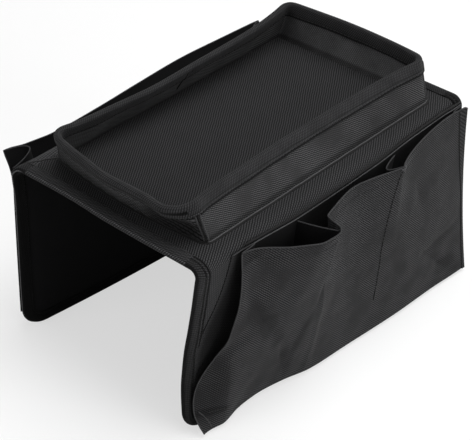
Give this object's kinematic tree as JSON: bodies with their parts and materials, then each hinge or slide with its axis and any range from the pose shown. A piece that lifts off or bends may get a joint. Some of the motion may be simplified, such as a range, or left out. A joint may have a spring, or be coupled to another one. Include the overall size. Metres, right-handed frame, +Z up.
{
  "type": "sofa armrest organizer",
  "caption": "Cloth saddle that drapes over a sofa arm, with an open tray on top and pockets on both hinged side flaps.",
  "frame": {"origin": "middle of the footprint, at the flaps' lower edges", "axes": "+Y along the sofa arm towards its back end, +Z up, +X towards the flap with several compartments"},
  "size_m": [0.2684, 0.33, 0.2076],
  "materials": {
    "cloth": "black woven twill, matte",
    "lining_cloth": "black plain cloth, matte",
    "tape": "black ribbed binding tape",
    "board": "plain grey board, sewn in and hidden",
    "strip": "thin black plastic strip, sewn in and hidden"
  },
  "bodies": {
    "saddle": {"left_bend_cover": "cloth", "left_bend_lining": "lining_cloth", "left_bend_tape_back": "tape", "left_bend_tape_front": "tape", "right_bend_cover": "cloth", "right_bend_lining": "lining_cloth", "right_bend_tape_back": "tape", "right_bend_tape_front": "tape", "top_board": "board", "top_cover": "cloth", "top_lining": "lining_cloth", "top_tape_back": "tape", "top_tape_front": "tape", "tray_floor": "cloth", "tray_rim_tape": "tape", "tray_strip_back": "strip", "tray_strip_front": "strip", "tray_strip_left": "strip", "tray_strip_right": "strip", "tray_wall_back": "cloth", "tray_wall_front": "cloth", "tray_wall_left": "cloth", "tray_wall_right": "cloth"},
    "left_flap": {"left_flap_board": "board", "left_flap_cover": "cloth", "left_flap_lining": "lining_cloth", "left_flap_tape": "tape", "left_gusset_back": "lining_cloth", "left_gusset_front": "lining_cloth", "left_pocket_back": "lining_cloth", "left_pocket_bottom": "lining_cloth", "left_pocket_front": "cloth"},
    "right_flap": {"right_divider_1": "lining_cloth", "right_divider_2": "lining_cloth", "right_flap_board": "board", "right_flap_cover": "cloth", "right_flap_lining": "lining_cloth", "right_flap_tape": "tape", "right_gusset_back": "lining_cloth", "right_gusset_front": "lining_cloth", "right_pocket_back": "lining_cloth", "right_pocket_bottom": "lining_cloth", "right_pocket_front": "cloth"}
  },
  "joints": [
    {"name": "left_flap_fold", "type": "hinge", "parent": "saddle", "child": "left_flap", "pos_m": [-0.10144, 0, 0.161], "axis": [0, 1, 0], "range_deg": [-25, 90], "deforming": ["left_bend_cover", "left_bend_lining", "left_bend_tape_back", "left_bend_tape_front"]},
    {"name": "right_flap_fold", "type": "hinge", "parent": "saddle", "child": "right_flap", "pos_m": [0.08456, 0, 0.161], "axis": [0, -1, 0], "range_deg": [-25, 90], "deforming": ["right_bend_cover", "right_bend_lining", "right_bend_tape_back", "right_bend_tape_front"]}
  ]
}
